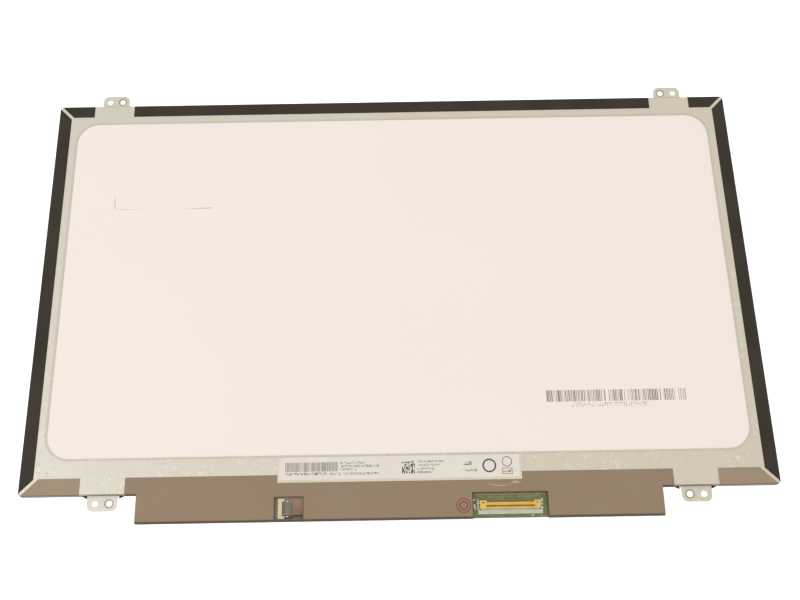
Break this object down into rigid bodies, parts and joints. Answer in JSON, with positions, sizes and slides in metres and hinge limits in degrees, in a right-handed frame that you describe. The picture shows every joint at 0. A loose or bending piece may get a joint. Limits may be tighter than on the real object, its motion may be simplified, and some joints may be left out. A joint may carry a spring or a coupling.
{
  "type": "laptop screen panel",
  "caption": "Slim flat laptop display module lying face down: steel-framed white back, black edge tapes, film-covered circuit board with cable and backlight sockets, and screw ears.",
  "frame": {"origin": "middle of the whole outline, on the plane of the display face that the panel lies on", "axes": "+X along the lower edge, to the right seen from behind; +Y to the upper edge; +Z out of the back"},
  "size_m": [0.3204, 0.2066, 0.0034],
  "materials": {
    "front_polariser": "dark anti-glare film",
    "polariser": "smooth film",
    "glass": "clear",
    "black_tape": "matte black film tape",
    "white_moulding": "white moulded plastic",
    "optical_film": "translucent film",
    "acrylic": "polished acrylic",
    "white_reflector": "soft white film",
    "galvanised_steel": "galvanised sheet with a fine spangle",
    "taupe_film": "satin taupe film",
    "label_paper": "matte white paper",
    "green_board": "green solder mask",
    "ivory_moulding": "ivory moulded plastic",
    "gold_plate": "gold-plated sheet",
    "beige_moulding": "beige moulded plastic",
    "grey_moulding": "dark grey moulded plastic",
    "tin_plate": "tin-plated sheet",
    "brown_flex": "reddish brown flex",
    "led_package": "white package with yellow window",
    "amber_flex": "amber flex",
    "chip": "black moulded package",
    "ferrite": "dark ferrite",
    "capacitor": "tan ceramic"
  },
  "bodies": {
    "panel": {"front_polariser": "front_polariser", "filter_glass": "glass", "array_glass": "glass", "rear_polariser": "polariser", "cell_tape": "black_tape", "mould_frame": "white_moulding", "upper_prism_sheet": "optical_film", "lower_prism_sheet": "optical_film", "diffuser_sheet": "optical_film", "light_guide": "acrylic", "reflector_sheet": "white_reflector", "rear_frame": "galvanised_steel", "edge_tape_left": "black_tape", "edge_tape_right": "black_tape", "edge_tape_top": "black_tape", "edge_tape_bottom": "black_tape", "cover_film": "taupe_film", "corner_film_left": "taupe_film", "corner_film_right": "taupe_film", "label_sticker": "label_paper", "circuit_board": "green_board", "input_socket_housing": "ivory_moulding", "input_socket_shell": "gold_plate", "input_socket_contacts": "gold_plate", "backlight_socket_housing": "beige_moulding", "backlight_socket_contacts": "tin_plate", "backlight_socket_tabs": "tin_plate", "led_flex": "brown_flex", "backlight_leds": "led_package", "driver_flex_left": "amber_flex", "driver_flex_middle": "amber_flex", "driver_flex_right": "amber_flex", "driver_chips": "chip", "timing_chip": "chip", "backlight_driver_chip": "chip", "power_coil": "ferrite", "board_capacitors": "capacitor"},
    "lever": {"backlight_socket_lever": "grey_moulding"}
  },
  "joints": [
    {"name": "lever_flip", "type": "hinge", "parent": "panel", "child": "lever", "pos_m": [-0.0486, -0.09795, 0.00262], "axis": [0, -1, 0], "range_deg": [0, 90]}
  ]
}
